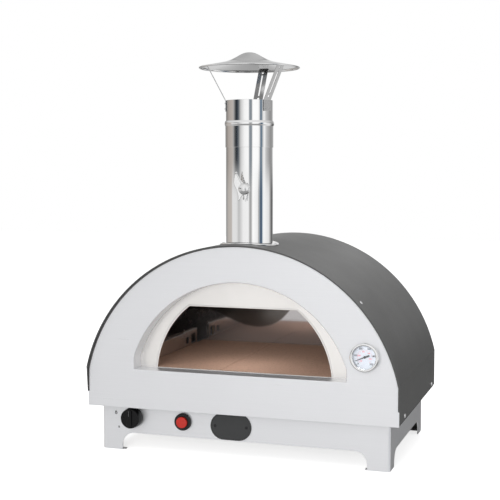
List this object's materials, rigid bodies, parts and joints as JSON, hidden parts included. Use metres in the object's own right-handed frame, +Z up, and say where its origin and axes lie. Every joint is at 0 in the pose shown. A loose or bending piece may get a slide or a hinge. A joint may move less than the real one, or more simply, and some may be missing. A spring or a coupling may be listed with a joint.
{
  "type": "arched table-top oven",
  "caption": "Arched table-top oven for wood or gas on a footed base, with a stone floor, a flue with damper and rain cap, a gas knob, an igniter button and a dial thermometer.",
  "frame": {"origin": "middle of the bounding box in plan, on the surface that the feet stand on", "axes": "+X to the right as seen from the front, +Y from the front to the back, +Z up"},
  "size_m": [0.7094, 0.4836, 0.8824],
  "materials": {
    "brushed_sheet": "satin",
    "polished_sheet": "polished",
    "shell_paint": "satin",
    "inner_steel": "matte",
    "fire_brick": "matte",
    "fibre_wool": "matte",
    "brass_fitting": "satin",
    "white_ceramic": "gloss",
    "black_plastic": "gloss",
    "red_plastic": "satin",
    "badge_black": "satin",
    "cable_rubber": "matte",
    "dial_white": "matte",
    "needle_black": "matte",
    "clear_glass": "gloss"
  },
  "bodies": {
    "oven": {"badge_plate": "badge_black", "badge_screw_left": "polished_sheet", "badge_screw_right": "polished_sheet", "base_frame": "brushed_sheet", "burner_guard": "polished_sheet", "burner_tube": "inner_steel", "cap_collar": "polished_sheet", "deck_plate": "inner_steel", "feed_pipe": "brass_fitting", "floor_board": "fibre_wool", "floor_pan": "inner_steel", "flue_collar": "polished_sheet", "flue_pipe_lower": "polished_sheet", "flue_pipe_upper": "polished_sheet", "flue_screw_left": "polished_sheet", "flue_screw_right": "polished_sheet", "front_panel": "brushed_sheet", "gas_injector": "brass_fitting", "gas_inlet": "brass_fitting", "gas_valve": "brass_fitting", "igniter_bezel": "black_plastic", "igniter_nut": "black_plastic", "inner_rear_wall": "polished_sheet", "inner_vault": "polished_sheet", "mouth_plate": "polished_sheet", "piezo_unit": "black_plastic", "pilot_bracket": "polished_sheet", "rain_cap": "polished_sheet", "rear_blanket": "fibre_wool", "rear_panel": "shell_paint", "side_screw_left_front": "polished_sheet", "side_screw_left_rear": "polished_sheet", "side_screw_right_front": "polished_sheet", "side_screw_right_rear": "polished_sheet", "spark_electrode": "white_ceramic", "spark_lead": "cable_rubber", "stone_left": "fire_brick", "stone_right": "fire_brick", "strap_left": "polished_sheet", "strap_rear": "polished_sheet", "strap_right": "polished_sheet", "supply_pipe": "brass_fitting", "thermocouple": "brass_fitting", "thermocouple_lead": "brass_fitting", "thermometer_case": "polished_sheet", "thermometer_dial": "dial_white", "thermometer_glass": "clear_glass", "thermometer_nut": "inner_steel", "thermometer_probe": "inner_steel", "vault_blanket": "fibre_wool", "vault_shell": "shell_paint"},
    "plunger": {"valve_plunger": "brass_fitting"},
    "knob": {"gas_knob": "black_plastic", "valve_stem": "brass_fitting"},
    "button": {"igniter_button": "red_plastic"},
    "needle": {"thermometer_needle": "needle_black"},
    "damper": {"damper_flap": "inner_steel", "damper_handle": "polished_sheet"}
  },
  "joints": [
    {"name": "knob_push", "type": "slide", "parent": "oven", "child": "plunger", "axis": [0, 1, 0], "range_m": [0, 0.004], "stiffness_N_per_m": 500, "springref_m": -0.004},
    {"name": "knob_turn", "type": "hinge", "parent": "plunger", "child": "knob", "pos_m": [-0.2515, -0.2, 0.0768], "axis": [0, -1, 0], "range_deg": [0, 135]},
    {"name": "igniter_push", "type": "slide", "parent": "oven", "child": "button", "axis": [0, 1, 0], "range_m": [0, 0.005], "stiffness_N_per_m": 800, "springref_m": -0.004},
    {"name": "needle_turn", "type": "hinge", "parent": "oven", "child": "needle", "pos_m": [0.28, -0.227, 0.245], "axis": [0, 1, 0], "range_deg": [-22, 248]},
    {"name": "damper_turn", "type": "hinge", "parent": "oven", "child": "damper", "pos_m": [0, -0.13175, 0.588], "axis": [0.1564, -0.9877, 0], "range_deg": [0, 90]}
  ]
}
